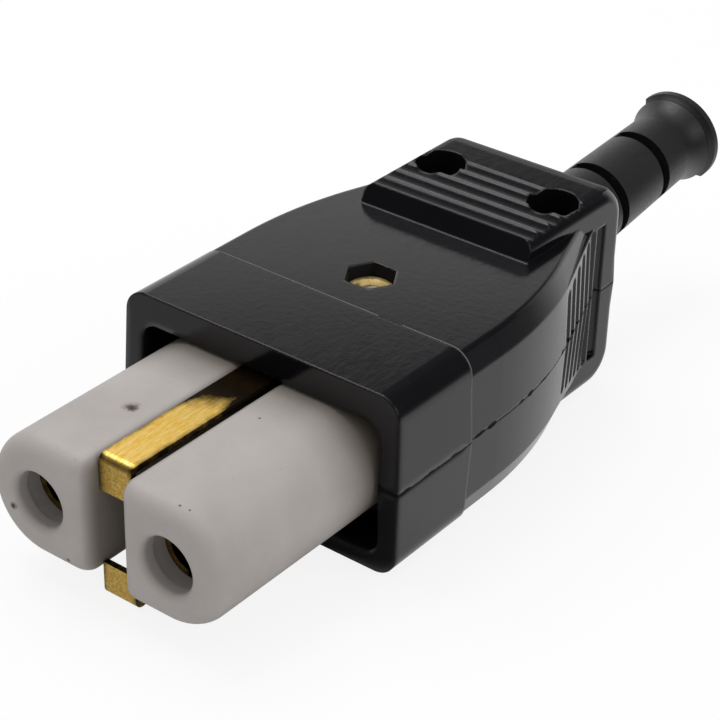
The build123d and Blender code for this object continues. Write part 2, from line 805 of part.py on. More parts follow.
# Rubber cord guard, leaning up a little where it leaves the shells
with BuildPart() as cable_sleeve:
    with BuildSketch(section_plane(guard_pivot - guard_rim_length)):
        Circle(guard_rim_radius)
    extrude(amount=guard_rim_length)
    with BuildSketch(section_plane(guard_pivot)):
        Circle((guard_neck_radius + guard_root_radius) / 2)
    extrude(amount=seat_gap + 2 * fit_gap)
    # The lower lobe's flare goes all round; the upper lobe stands out over half a turn
    for roll, arc, step, set_back in ((0, 360, lobe_step, flare_lip), (guard_roll, 180, 0, 0)):
        foot = guard_length - flare_length - set_back
        end = guard_length - set_back
        with BuildSketch(guard_side(roll)):
            with BuildLine():
                neck_out = (block_end - guard_pivot, guard_root_radius)
                foot_out = (foot, guard_tip_radius)
                lip_in = (end - flare_lip, flare_radius - step)
                if arc == 360:
                    Polyline((foot, 0), (0, 0), (0, guard_neck_radius), neck_out, foot_out)
                else:
                    Line((foot, 0), foot_out)
                TangentArc(foot_out, lip_in, tangent=(1, 0))
                Polyline(lip_in, (end, flare_radius - step), (end, 0), (foot, 0))
            make_face()
        revolve(axis=Axis(guard_origin, guard_axis), revolution_arc=arc)
    with BuildSketch(section_plane(guard_pivot - guard_rim_length)):
        Circle(channel_radius)
    extrude(amount=guard_rim_length + 2 * seat_gap, mode=Mode.SUBTRACT)
    with BuildSketch(guard_plane(0)):
        Circle(cord_diameter / 2)
    extrude(amount=guard_length + seat_gap, mode=Mode.SUBTRACT)

    # Bend slots from both sides, with a web left at each mould seam
    for index in range(slot_count):
        slot_front = slot_first + index * slot_pitch - slot_width / 2
        with BuildSketch(guard_plane(slot_front)):
            Circle(flare_radius)
            Rectangle(2 * flare_radius + slot_web, slot_web, rotation=guard_roll, mode=Mode.SUBTRACT)
        extrude(amount=slot_width, mode=Mode.SUBTRACT)
cable_sleeve.part.label = "cable_sleeve"
export_step(cable_sleeve.part, "parts/cable_sleeve.step")
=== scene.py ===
# %% [markdown]
# A hot appliance plug, dressed for its portrait. The solids come from the CAD
# pack and stay where they are. This script adds the camera, the light, the
# finishes and the small marks that moulding, firing and use leave behind.
# Blender counts in metres, so a millimetre gets a name of its own.

import json
from math import cos, pi, radians, sin, tan

import bmesh
import bpy
from mathutils import Matrix, Vector


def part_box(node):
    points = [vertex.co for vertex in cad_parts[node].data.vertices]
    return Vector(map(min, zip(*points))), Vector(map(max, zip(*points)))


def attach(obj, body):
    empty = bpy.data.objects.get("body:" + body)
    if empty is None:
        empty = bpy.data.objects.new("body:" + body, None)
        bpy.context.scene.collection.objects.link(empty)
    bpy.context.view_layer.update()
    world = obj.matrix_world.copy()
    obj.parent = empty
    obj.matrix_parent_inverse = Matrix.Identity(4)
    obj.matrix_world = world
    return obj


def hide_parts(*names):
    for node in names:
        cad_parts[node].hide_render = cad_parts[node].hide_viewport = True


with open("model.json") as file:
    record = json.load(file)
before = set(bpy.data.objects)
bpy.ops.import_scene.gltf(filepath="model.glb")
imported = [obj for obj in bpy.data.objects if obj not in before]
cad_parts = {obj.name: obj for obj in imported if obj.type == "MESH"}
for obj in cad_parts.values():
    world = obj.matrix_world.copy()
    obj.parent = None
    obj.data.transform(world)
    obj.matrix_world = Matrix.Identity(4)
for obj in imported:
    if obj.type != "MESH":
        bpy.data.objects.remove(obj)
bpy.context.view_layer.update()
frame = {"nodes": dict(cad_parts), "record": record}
nodes = frame["nodes"]
mm = 0.001
print("nodes", len(nodes))

# %% [markdown]
# A few places are needed again and again: the parting plane between the two
# shells, the tips of the ceramic barrels, the collar, the grip pad and the nut.
# Most are read from the frame's boxes, which keeps them true when a solid
# changes. No box gives the body's height or the pad's length, so those are
# typed. The collar's back edge is read from the mesh: it is the last point near
# the front that stands higher than the body.

# %% Places
shell_low, shell_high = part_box("upper_shell")
nut_low, nut_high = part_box("centre_nut")
strip_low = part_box("earth_contact")[0]
tips_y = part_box("ceramic_barrel_right")[0].y
body_height = 11.7 * mm
collar_step = 0.25 * mm
collar_reach = 16 * mm
pad_length = 22.6 * mm
parting_z = shell_low.z
collar_front_y = shell_low.y
body_top_z = parting_z + body_height
collar_back_y = max(
    v.co.y for v in nodes["upper_shell"].data.vertices
    if v.co.z > body_top_z + collar_step and v.co.y < collar_front_y + collar_reach
)
pad_front_y = shell_high.y - pad_length
nut_centre = (nut_low + nut_high) / 2


def station(distance):
    """The y of a point that lies some millimetres behind the barrels' tips."""
    return tips_y + distance * mm


print("parting", round(parting_z, 5), "tips", round(tips_y, 5))
print("collar's back edge", round((collar_back_y - tips_y) / mm, 2), "mm behind the tips")

# %% [markdown]
# The photograph was taken with a long lens from the front right and above. The
# lens and the camera's place were worked out from the two bores, which lie
# 19 mm apart, and from the straight edges of the collar. The place is counted
# from the middle, the barrels' tips and the parting plane.

# %% Camera
eye_right, eye_before, eye_above = 135.34 * mm, 132.948 * mm, 137.01 * mm
camera = bpy.data.objects.new("camera", bpy.data.cameras.new("camera"))
bpy.context.scene.collection.objects.link(camera)
camera.data.sensor_width = 36
camera.data.lens = 107.08
camera.data.clip_start = 0.01
camera.location = (eye_right, tips_y - eye_before, parting_z + eye_above)
camera.rotation_euler = (radians(58.685), radians(-1.204), radians(37.844))
bpy.context.scene.camera = camera
print("camera", [round(c, 5) for c in camera.location])

# %% [markdown]
# The plug lies on its lower grip pad and tips forward until the collar or the
# lower earth strip touches too. The solids can't be turned, because the frame
# holds them, so the floor leans by those few degrees under the plug instead.
# The strip is sprung, and may press a hair into the paper.

# %% Floor
floor_half = 3.0
collar_bottom = 2.5 * mm
pressed_in = 0.05 * mm
floor_lean = min(
    collar_bottom / (pad_front_y - collar_front_y),
    (strip_low.z - pressed_in) / (pad_front_y - strip_low.y),
)
lean = Matrix.Rotation(-floor_lean, 3, "X")

shape = bmesh.new()
bmesh.ops.create_grid(shape, x_segments=1, y_segments=1, size=floor_half)
bmesh.ops.rotate(shape, verts=shape.verts, cent=(0, 0, 0), matrix=lean)
bmesh.ops.translate(shape, verts=shape.verts, vec=(0, 0, pad_front_y * floor_lean))
floor = bpy.data.objects.new("floor", bpy.data.meshes.new("floor"))
shape.to_mesh(floor.data)
shape.free()
bpy.context.scene.collection.objects.link(floor)
print("floor lean", round(floor_lean, 4))

# %% [markdown]
# Materials are built from nodes. Three helpers keep that short: one turns a
# colour written the usual way into the linear numbers that a shader wants, one
# adds a node with its settings and links, and one starts a blank finish with
# its shader, its output and the place on the object.


# %% Material helpers
def linear(hex_colour):
    """A colour such as "#c8a04a", as linear red, green, blue and alpha."""
    channels = [int(hex_colour[i:i + 2], 16) / 255 for i in (1, 3, 5)]
    bent = [c / 12.92 if c <= 0.04045 else ((c + 0.055) / 1.055) ** 2.4 for c in channels]
    return (*bent, 1.0)


def add_node(tree, kind, inputs=None, **settings):
    """A node with its settings, its inputs given values or linked to a socket or a node."""
    node = tree.nodes.new(kind)
    for name, value in settings.items():
        setattr(node, name, value)
    for key, value in (inputs or {}).items():
        by_name = [s for s in node.inputs if s.enabled and s.name == key]
        socket = by_name[0] if by_name else node.inputs[key]
        if isinstance(value, bpy.types.Node):
            value = [s for s in value.outputs if s.enabled][0]
        if isinstance(value, bpy.types.NodeSocket):
            tree.links.new(value, socket)
        else:
            socket.default_value = value
    return node


def new_finish(name, **inputs):
    """A material whose shader has the given inputs, and the place on the object in metres."""
    material = bpy.data.materials.new(name)
    material.use_nodes = True
    tree = material.node_tree
    tree.nodes.clear()
    settings = {key.replace("_", " "): value for key, value in inputs.items()}
    shader = add_node(tree, "ShaderNodeBsdfPrincipled", settings)
    add_node(tree, "ShaderNodeOutputMaterial", {"Surface": shader})
    place = add_node(tree, "ShaderNodeTexCoord").outputs["Object"]
    return material, tree, shader, place


print("three helpers are ready")

# %% [markdown]
# The photographer's paper sweeps up behind the plug, and past its edge the room
# is dark. The polished faces show that: bright where they mirror the paper and
# nearly black elsewhere. The sweep is one number for a direction, 1 towards the
# paper and 0 away from it, and both the floor and the world use it.


# %% Paper sweep
sweep_turn = radians(-37)


def paper_sweep(tree, direction):
    """How much of the paper lies in a direction, from 0 to 1."""
    flat = add_node(tree, "ShaderNodeVectorMath", {0: direction}, operation="NORMALIZE")
    towards = add_node(
        tree, "ShaderNodeVectorMath", {0: flat, 1: (sin(sweep_turn), cos(sweep_turn), 0)},
        operation="DOT_PRODUCT",
    ).outputs["Value"]
    return add_node(
        tree, "ShaderNodeMapRange", {"Value": towards, "From Min": 0.25, "From Max": 0.65},
        interpolation_type="SMOOTHSTEP",
    )


print("sweep turned", round(sweep_turn, 3))

# %% [markdown]
# The floor is white paper, and the shell is polished enough to mirror it. A
# face is bright where it mirrors the paper close by, and darker where it
# mirrors paper further off or in front of the plug. A dark stand to the front
# right leaves a dark wedge, which the collar's front corner shows as an upright
# band. All this could be built as real things round the plug, but drawn on the
# paper, for mirrored rays only, it is easier to match to the photo.

# %% What the floor shows in a mirror
paper, tree, shader, place = new_finish(
    "white_paper", Base_Color=linear("#f0f0f0"), Roughness=0.9, Specular_IOR_Level=0.1,
)
stand_direction = (0.78, -0.62, 0.0)
collar_side = (0.0, collar_front_y + 5 * mm, 0.0)
reach = add_node(tree, "ShaderNodeVectorMath", {0: place}, operation="LENGTH").outputs["Value"]
near = add_node(
    tree, "ShaderNodeMapRange",
    {"Value": reach, "From Min": 0.09, "From Max": 0.16, "To Min": 0.76, "To Max": 0.05},
)
in_front = add_node(
    tree, "ShaderNodeMapRange",
    {"Value": add_node(tree, "ShaderNodeSeparateXYZ", {"Vector": place}).outputs["Y"],
     "From Min": -0.06, "From Max": -0.02, "To Min": 0.55, "To Max": 1.0},
)
near = add_node(tree, "ShaderNodeMath", {0: near, 1: in_front}, operation="MULTIPLY")
from_collar = add_node(
    tree, "ShaderNodeVectorMath", {0: place, 1: collar_side}, operation="SUBTRACT",
)
from_collar = add_node(tree, "ShaderNodeVectorMath", {0: from_collar}, operation="NORMALIZE")
towards_stand = add_node(
    tree, "ShaderNodeVectorMath", {0: from_collar, 1: stand_direction}, operation="DOT_PRODUCT",
).outputs["Value"]
stand = add_node(
    tree, "ShaderNodeMapRange",
    {"Value": towards_stand, "From Min": 0.84, "From Max": 0.95, "To Min": 1.0, "To Max": 0.05},
)
near = add_node(tree, "ShaderNodeMath", {0: near, 1: stand}, operation="MULTIPLY")
lit_paper = add_node(
    tree, "ShaderNodeMath", {0: near, 1: paper_sweep(tree, place)}, operation="MAXIMUM",
)
print("stand towards", stand_direction)

# %% [markdown]
# White paper under studio light is pure white to the camera, with a faint
# shadow. More light would bleach the plug, so a glow is mixed into the paper
# instead: most of what the camera or a mirror sees of it is glow, and a small
# share is a plain matt sheet that takes the shadow.

# %% Floor finish
seen_share, lighting_share = 0.86, 0.25
rays = add_node(tree, "ShaderNodeLightPath").outputs
for_gloss = add_node(
    tree, "ShaderNodeMath", {0: rays["Is Glossy Ray"], 1: lit_paper}, operation="MULTIPLY",
)
for_light = add_node(
    tree, "ShaderNodeMath", {0: rays["Is Camera Ray"], 1: rays["Is Diffuse Ray"]},
    operation="MAXIMUM",
)
glow_level = add_node(tree, "ShaderNodeMath", {0: for_light, 1: for_gloss}, operation="MAXIMUM")
glow = add_node(tree, "ShaderNodeEmission", {"Color": linear("#ffffff"), "Strength": glow_level})
any_direct = add_node(
    tree, "ShaderNodeMath", {0: rays["Is Camera Ray"], 1: rays["Is Glossy Ray"]},
    operation="MAXIMUM",
)
# For light that bounces onto the plug, a quarter of the paper is glow as well, so the glowing
# paper lights the plug from below.
share = add_node(
    tree, "ShaderNodeMapRange",
    {"Value": any_direct, "To Min": lighting_share, "To Max": seen_share},
)
mixed = add_node(tree, "ShaderNodeMixShader", {0: share, 1: shader, 2: glow})
tree.links.new(mixed.outputs[0], tree.nodes["Material Output"].inputs["Surface"])
floor.data.materials.append(paper)
print("floor finish", paper.name)

# %% [markdown]
# Bakelite is phenolic resin pressed in a hot, polished steel mould. It comes
# out black and glossy, clouded by flow lines about a centimetre long, and it
# gathers fine dust. To the eye it is a black mirror that isn't quite clean. A
# picture of the surface could be wrapped on, but noise on the object's own
# coordinates has no seams and fits every moulded piece. The dust is a Voronoi
# pattern: a speck fills a small part of each cell, round its centre.

# %% Bakelite
bakelite, tree, shader, place = new_finish("bakelite_moulded", IOR=1.5)
flow_length = 11 * mm
dust_gap, dust_speck = 1.3 * mm, 0.045
clouds = add_node(
    tree, "ShaderNodeTexNoise",
    {"Vector": place, "Scale": 1 / flow_length, "Detail": 4.0, "Distortion": 0.5},
)
resin = add_node(
    tree, "ShaderNodeMix", {"Factor": clouds, "A": linear("#09080b"), "B": linear("#131216")},
    data_type="RGBA",
)
dust = add_node(tree, "ShaderNodeTexVoronoi", {"Vector": place, "Scale": 1 / dust_gap})
dust_mask = add_node(
    tree, "ShaderNodeMath", {0: dust.outputs["Distance"], 1: dust_speck}, operation="LESS_THAN",
)
dusty = add_node(
    tree, "ShaderNodeMix",
    {"Factor": add_node(tree, "ShaderNodeMath", {0: dust_mask, 1: 0.3}, operation="MULTIPLY"),
     "A": resin, "B": linear("#4c4a4e")},
    data_type="RGBA",
)
print("started", bakelite.name)

# %% [markdown]
# Where the two shells meet, their thin edges are chipped, which shows as a
# black line that widens and narrows. At the collar's mouth the chips are the
# widest. The line could be cut into the solids, but it is only tenths of a
# millimetre wide, so it is drawn: black wherever a point is closer to the
# parting plane than a width that noise decides.

# %% Chipped parting line
chip_size = 2.2 * mm
thin_line, wide_line = 0.05 * mm, 0.42 * mm
mouth_reach, mouth_chip = 2.5 * mm, 0.6 * mm
axes = add_node(tree, "ShaderNodeSeparateXYZ", {"Vector": place}).outputs
height = axes["Z"]
above = add_node(tree, "ShaderNodeMath", {0: height, 1: parting_z}, operation="SUBTRACT")
seam_distance = add_node(tree, "ShaderNodeMath", {0: above}, operation="ABSOLUTE")
chips = add_node(
    tree, "ShaderNodeTexNoise", {"Vector": place, "Scale": 1 / chip_size, "Detail": 6.0},
)
seam_width = add_node(
    tree, "ShaderNodeMapRange",
    {"Value": chips, "From Min": 0.5, "From Max": 0.7, "To Min": thin_line, "To Max": wide_line},
)
near_mouth = add_node(
    tree, "ShaderNodeMapRange",
    {"Value": axes["Y"], "From Min": collar_front_y, "From Max": collar_front_y + mouth_reach,
     "To Min": mouth_chip, "To Max": 0.0},
)
seam_width = add_node(
    tree, "ShaderNodeMath", {0: near_mouth, 1: chips, 2: seam_width}, operation="MULTIPLY_ADD",
)
seam = add_node(tree, "ShaderNodeMath", {0: seam_distance, 1: seam_width}, operation="LESS_THAN")
skin_colour = add_node(
    tree, "ShaderNodeMix", {"Factor": seam, "A": dusty, "B": linear("#010101")}, data_type="RGBA",
)
tree.links.new(skin_colour.outputs[2], shader.inputs["Base Color"])
print("line", round(thin_line / mm, 2), "to", round(wide_line / mm, 2), "mm to each side")

# %% [markdown]
# Years of handling leave hairlines that run along the plug, so the gloss is
# duller where they lie close. Real hairlines are too fine to show, and these
# are drawn 0.3 mm wide. Black dirt makes the recess round the nut matt, and the
# broken edges of the parting line are matt as well.

# %% Gloss of the bakelite
hairline = 0.3 * mm
recess_radius = 6.5 * mm
recess_start = 0.3 * mm
along_plug = add_node(tree, "ShaderNodeMapping", {"Vector": place, "Scale": (1.0, 0.12, 1.0)})
scratches = add_node(
    tree, "ShaderNodeTexNoise",
    {"Vector": along_plug, "Scale": 1 / hairline, "Detail": 5.0, "Roughness": 0.6},
)
gloss = add_node(
    tree, "ShaderNodeMapRange",
    {"Value": scratches, "From Min": 0.4, "From Max": 0.75, "To Min": 0.12, "To Max": 0.2},
)
nut_distance = add_node(
    tree, "ShaderNodeVectorMath",
    {0: add_node(tree, "ShaderNodeCombineXYZ", {"X": axes["X"], "Y": axes["Y"]}),
     1: (nut_centre.x, nut_centre.y, 0.0)},
    operation="DISTANCE",
).outputs["Value"]
recess = add_node(
    tree, "ShaderNodeMath", {0: nut_distance, 1: recess_radius}, operation="LESS_THAN",
)
below_top = add_node(
    tree, "ShaderNodeMath", {0: height, 1: body_top_z - recess_start}, operation="LESS_THAN",
)
recess = add_node(tree, "ShaderNodeMath", {0: recess, 1: below_top}, operation="MULTIPLY")
matt = add_node(tree, "ShaderNodeMath", {0: recess, 1: seam}, operation="MAXIMUM")
roughness = add_node(tree, "ShaderNodeMath", {0: gloss, 1: matt}, operation="MAXIMUM")
tree.links.new(roughness.outputs[0], shader.inputs["Roughness"])
print("matt to", round(recess_radius / mm, 1), "mm from the nut's axis")

# %% [markdown]
# The collar's front edges are worn rounder than the rest. A Bevel node rounds
# an edge in the light only, and its radius may change along the plug, which
# suits wear. The grip pad's flutes catch the light as flatter ones would that
# lean a few degrees to the front: they mirror the dark room, and only their
# crests are bright. A bump does that, and the mesh stays as it is. Over all
# lies the orange peel of the moulding, with hills less than a millimetre apart.

# %% Worn edges, flutes and orange peel
peel_size = 0.9 * mm
worn_radius, sharp_radius, top_radius = 1.3 * mm, 0.5 * mm, 0.45 * mm
facing_limit, pad_foot = 0.82, 0.8 * mm
pad_slope = tan(radians(3.5))
flute_ease = -0.8
worn_edge = add_node(
    tree, "ShaderNodeMapRange",
    {"Value": axes["Y"],
     "From Min": collar_back_y - 1.5 * mm, "From Max": collar_back_y - 0.5 * mm,
     "To Min": worn_radius, "To Max": sharp_radius},
)
upper_edge = add_node(
    tree, "ShaderNodeMapRange",
    {"Value": height, "From Min": body_top_z - 3.2 * mm, "From Max": body_top_z - 1.2 * mm,
     "To Min": worn_radius, "To Max": top_radius},
)
worn_edge = add_node(tree, "ShaderNodeMath", {0: worn_edge, 1: upper_edge}, operation="MINIMUM")
soft_edges = add_node(tree, "ShaderNodeBevel", {"Radius": worn_edge}, samples=6)
facing = add_node(tree, "ShaderNodeNewGeometry").outputs["Normal"]
facing_up = add_node(tree, "ShaderNodeSeparateXYZ", {"Vector": facing}).outputs["Z"]
pad_top = add_node(
    tree, "ShaderNodeMath", {0: facing_up, 1: facing_limit}, operation="GREATER_THAN",
)
on_pad = add_node(
    tree, "ShaderNodeMath", {0: height, 1: body_top_z + pad_foot}, operation="GREATER_THAN",
)
pad_mask = add_node(tree, "ShaderNodeMath", {0: pad_top, 1: on_pad}, operation="MULTIPLY")
pad_rise = add_node(tree, "ShaderNodeMath", {0: above, 1: flute_ease}, operation="MULTIPLY")
pad_rise = add_node(
    tree, "ShaderNodeMath", {0: axes["Y"], 1: pad_slope, 2: pad_rise}, operation="MULTIPLY_ADD",
)
pad_rise = add_node(tree, "ShaderNodeMath", {0: pad_rise, 1: pad_mask}, operation="MULTIPLY")
pad_bump = add_node(
    tree, "ShaderNodeBump", {"Height": pad_rise, "Distance": 1.0, "Normal": soft_edges},
)
peel = add_node(
    tree, "ShaderNodeTexNoise", {"Vector": place, "Scale": 1 / peel_size, "Detail": 3.0},
)
relief = add_node(tree, "ShaderNodeMath", {0: peel, 1: seam}, operation="SUBTRACT")
relief_bump = add_node(
    tree, "ShaderNodeBump",
    {"Height": relief, "Distance": 0.008 * mm, "Strength": 0.7, "Normal": pad_bump},
)
tree.links.new(relief_bump.outputs[0], shader.inputs["Normal"])
print("bakelite nodes", len(tree.nodes))

# %% [markdown]
# Steatite is a fired ceramic left without glaze: warm grey-white, dry to the
# touch and a little uneven, so the light on it is soft and has no mirror in it.
# The gap between the barrels and the part under the collar turn slowly brown-grey. Part of this
# is grime that gathers there, and part is painted shade where the barrels meet and where the
# collar's shade falls.

# %% Steatite
steatite, tree, shader, place = new_finish("steatite_unglazed", IOR=1.55)
patch_size = 9 * mm
clay_gap, clay_speck = 2.6 * mm, 0.03
gap_half, gap_edge = 2.5 * mm, 3.4 * mm
shade_and_grime_start_y, shade_and_grime_full_y = station(18), station(30)
patches = add_node(
    tree, "ShaderNodeTexNoise", {"Vector": place, "Scale": 1 / patch_size, "Detail": 4.0},
)
patch_mask = add_node(
    tree, "ShaderNodeMapRange", {"Value": patches, "From Min": 0.3, "From Max": 0.7},
)
clay = add_node(
    tree, "ShaderNodeMix", {"Factor": patch_mask, "A": linear("#a39d99"), "B": linear("#afa9a5")},
    data_type="RGBA",
)
axes = add_node(tree, "ShaderNodeSeparateXYZ", {"Vector": place}).outputs
off_middle = add_node(tree, "ShaderNodeMath", {0: axes["X"]}, operation="ABSOLUTE")
# Brown-grey in the gap and towards the collar: part grime, part painted shade.
gap_shade_and_grime = add_node(
    tree, "ShaderNodeMapRange",
    {"Value": off_middle, "From Min": gap_half, "From Max": gap_edge,
     "To Min": 0.6, "To Max": 0.0},
)
collar_shade_and_grime = add_node(
    tree, "ShaderNodeMapRange",
    {"Value": axes["Y"], "From Min": shade_and_grime_start_y, "From Max": shade_and_grime_full_y,
     "To Min": 0.0, "To Max": 0.9},
    interpolation_type="SMOOTHSTEP",
)
shade_and_grime = add_node(tree, "ShaderNodeMath", {0: gap_shade_and_grime, 1: collar_shade_and_grime}, operation="MAXIMUM")
clay = add_node(
    tree, "ShaderNodeMix", {"Factor": shade_and_grime, "A": clay, "B": linear("#5d5446")},
    data_type="RGBA",
)
specks = add_node(tree, "ShaderNodeTexVoronoi", {"Vector": place, "Scale": 1 / clay_gap})
speck_mask = add_node(
    tree, "ShaderNodeMath", {0: specks.outputs["Distance"], 1: clay_speck}, operation="LESS_THAN",
)
clay = add_node(
    tree, "ShaderNodeMix",
    {"Factor": add_node(tree, "ShaderNodeMath", {0: speck_mask, 1: 0.5}, operation="MULTIPLY"),
     "A": clay, "B": linear("#6d655e")},
    data_type="RGBA",
)
print("started", steatite.name)

# %% [markdown]
# Sparks and knocks have left a few dark spots: the burn beside the strip, the
# pit at the left barrel's edge and some small knocks. Each has its own place
# and radius, measured on the photograph in millimetres: to the right of the
# middle, behind the tips, and above the parting plane. The place is moved onto
# the barrel's skin, and the spot is a soft round patch whose outline is broken
# by noise. A painted map would do as well, but it would need an unwrapping.

# %% Spots on the steatite
burn_brown, pit_black = linear("#5c3a14"), linear("#14110f")
spots = [
    ((-6.36, 12.28, 7.21), 1.15, burn_brown), ((-6.15, 12.18, 7.25), 0.75, pit_black),
    ((-13.39, 0.0, -2.23), 0.6, pit_black), ((10.42, 1.67, 7.64), 0.22, pit_black),
    ((11.59, 1.91, 7.4), 0.18, pit_black), ((-5.14, 0.0, -6.0), 0.36, pit_black),
    ((6.13, 19.65, 7.17), 0.22, pit_black),
]
wobble_size = 0.4 * mm
wobble = add_node(
    tree, "ShaderNodeTexNoise", {"Vector": place, "Scale": 1 / wobble_size, "Detail": 3.0},
)
for (x, back, up), radius, stain in spots:
    barrel = nodes["ceramic_barrel_left" if x < 0 else "ceramic_barrel_right"]
    measured = (x * mm, station(back), parting_z + up * mm)
    centre = barrel.closest_point_on_mesh(measured)[1]
    away = add_node(
        tree, "ShaderNodeVectorMath", {0: place, 1: centre}, operation="DISTANCE",
    ).outputs["Value"]
    ragged = add_node(
        tree, "ShaderNodeMath", {0: wobble, 1: radius * mm, 2: away}, operation="MULTIPLY_ADD",
    )
    mask = add_node(
        tree, "ShaderNodeMapRange",
        {"Value": ragged, "From Min": 0.7 * radius * mm, "From Max": 1.5 * radius * mm,
         "To Min": 0.95, "To Max": 0.0},
    )
    clay = add_node(
        tree, "ShaderNodeMix", {"Factor": mask, "A": clay, "B": stain}, data_type="RGBA",
    )
tree.links.new(clay.outputs[2], shader.inputs["Base Color"])
print("spots", len(spots))

# %% [markdown]
# The dry feel comes from the grain of the fired clay. Its grit is finer than
# the picture can show, so it is drawn half a millimetre coarse, both as a
# change in roughness and as a shallow bump.

# %% Grit of the steatite
grit_size = 0.5 * mm
grit = add_node(
    tree, "ShaderNodeTexNoise", {"Vector": place, "Scale": 1 / grit_size, "Detail": 4.0},
)
dry = add_node(
    tree, "ShaderNodeMapRange",
    {"Value": grit, "From Min": 0.3, "From Max": 0.7, "To Min": 0.5, "To Max": 0.66},
)
tree.links.new(dry.outputs[0], shader.inputs["Roughness"])
uneven = add_node(tree, "ShaderNodeMath", {0: grit, 1: patches}, operation="ADD")
uneven_bump = add_node(
    tree, "ShaderNodeBump", {"Height": uneven, "Distance": 0.03 * mm, "Strength": 0.8},
)
tree.links.new(uneven_bump.outputs[0], shader.inputs["Normal"])
print("steatite nodes", len(tree.nodes))

# %% [markdown]
# The strips are rolled brass, scratched criss-cross by years of plugging in.
# Rolling leaves fine lines along the strip, and the scratches cross them at an
# angle. Both are noise stretched by a Mapping node, and both are drawn about a
# quarter of a millimetre wide so that they show. Where they are dense, the
# metal is paler.

# %% Brass
brass, tree, shader, place = new_finish("brass_rolled", Metallic=1.0)
line_width, scratch_width = 0.25 * mm, 0.3 * mm
along_strip = add_node(tree, "ShaderNodeMapping", {"Vector": place, "Scale": (1.0, 0.2, 1.0)})
rolled = add_node(
    tree, "ShaderNodeTexNoise",
    {"Vector": along_strip, "Scale": 1 / line_width, "Detail": 5.0},
)
across_strip = add_node(
    tree, "ShaderNodeMapping",
    {"Vector": place, "Rotation": (0, 0, radians(52)), "Scale": (1.0, 0.08, 1.0)},
)
crossed = add_node(
    tree, "ShaderNodeTexNoise",
    {"Vector": across_strip, "Scale": 1 / scratch_width, "Detail": 5.0},
)
scratch = add_node(tree, "ShaderNodeMath", {0: rolled, 1: crossed}, operation="MAXIMUM")
tint = add_node(
    tree, "ShaderNodeMapRange", {"Value": scratch, "From Min": 0.45, "From Max": 0.75},
)
metal = add_node(
    tree, "ShaderNodeMix", {"Factor": tint, "A": linear("#dcae44"), "B": linear("#f8e093")},
    data_type="RGBA",
)
print("started", brass.name)

# %% [markdown]
# Dirt stays where nothing rubs, most of all at the collar, where the metal is brown-black and the
# stain runs at a slant. The strip is also darker along its edges. Its cut sides, its bends and
# the lower arm's inner face are darkened as painted shade, picked by the way the surface faces.
# Each of these is a number from the place or from the way the surface faces. They are added up,
# and noise breaks their outlines.

# %% Where dirt stays and shade is painted
edge_start, edge_full = 1.7 * mm, 2.4 * mm
stain_start_y, stain_full_y, stain_slant = station(16.0), station(22.5), -0.6
bend_facing = 0.7
axes = add_node(tree, "ShaderNodeSeparateXYZ", {"Vector": place}).outputs
off_middle = add_node(tree, "ShaderNodeMath", {0: axes["X"]}, operation="ABSOLUTE")
edge_darkening = add_node(
    tree, "ShaderNodeMapRange",
    {"Value": off_middle, "From Min": edge_start, "From Max": edge_full,
     "To Min": 0.0, "To Max": 0.55},
)
slanted = add_node(
    tree, "ShaderNodeMath", {0: axes["X"], 1: stain_slant, 2: axes["Y"]},
    operation="MULTIPLY_ADD",
)
collar_dirt = add_node(
    tree, "ShaderNodeMapRange",
    {"Value": slanted, "From Min": stain_start_y, "From Max": stain_full_y,
     "To Min": 0.0, "To Max": 1.3},
)
# Cut sides, bends and the lower arm's inner face get painted shade, picked by the way each face
# points.
facing = add_node(tree, "ShaderNodeNewGeometry").outputs["Normal"]
facing_axes = add_node(tree, "ShaderNodeSeparateXYZ", {"Vector": facing}).outputs
sideways = add_node(tree, "ShaderNodeMath", {0: facing_axes["X"]}, operation="ABSOLUTE")
side_painted_shade = add_node(tree, "ShaderNodeMath", {0: sideways, 1: 0.3}, operation="MULTIPLY")
off_bend = add_node(
    tree, "ShaderNodeMath", {0: facing_axes["Z"], 1: bend_facing}, operation="SUBTRACT",
)
off_bend = add_node(tree, "ShaderNodeMath", {0: off_bend}, operation="ABSOLUTE")
bend_painted_shade = add_node(
    tree, "ShaderNodeMapRange",
    {"Value": off_bend, "From Min": 0.1, "From Max": 0.29, "To Min": 0.45, "To Max": 0.0},
)
lower_arm = add_node(tree, "ShaderNodeMath", {0: axes["Z"], 1: parting_z}, operation="LESS_THAN")
inner_face_painted_shade = add_node(
    tree, "ShaderNodeMath", {0: facing_axes["Z"], 1: lower_arm},
    operation="MULTIPLY", use_clamp=True,
)
painted_shade = add_node(tree, "ShaderNodeMath", {0: side_painted_shade, 1: bend_painted_shade}, operation="MAXIMUM")
painted_shade = add_node(tree, "ShaderNodeMath", {0: painted_shade, 1: inner_face_painted_shade}, operation="MAXIMUM")
dirt_and_painted_shade = add_node(
    tree, "ShaderNodeMath", {0: painted_shade, 1: 0.7, 2: collar_dirt}, operation="MULTIPLY_ADD",
)
dirt_and_painted_shade = add_node(tree, "ShaderNodeMath", {0: edge_darkening, 1: dirt_and_painted_shade}, operation="ADD")
print("brass nodes so far", len(tree.nodes))

# %% [markdown]
# Dirt and the painted shade darken the metal, and the scratches in it catch the light. Rubbed
# metal is smoother than the rest, so dense scratches get the lower roughness, and a shallow bump
# makes them glint.

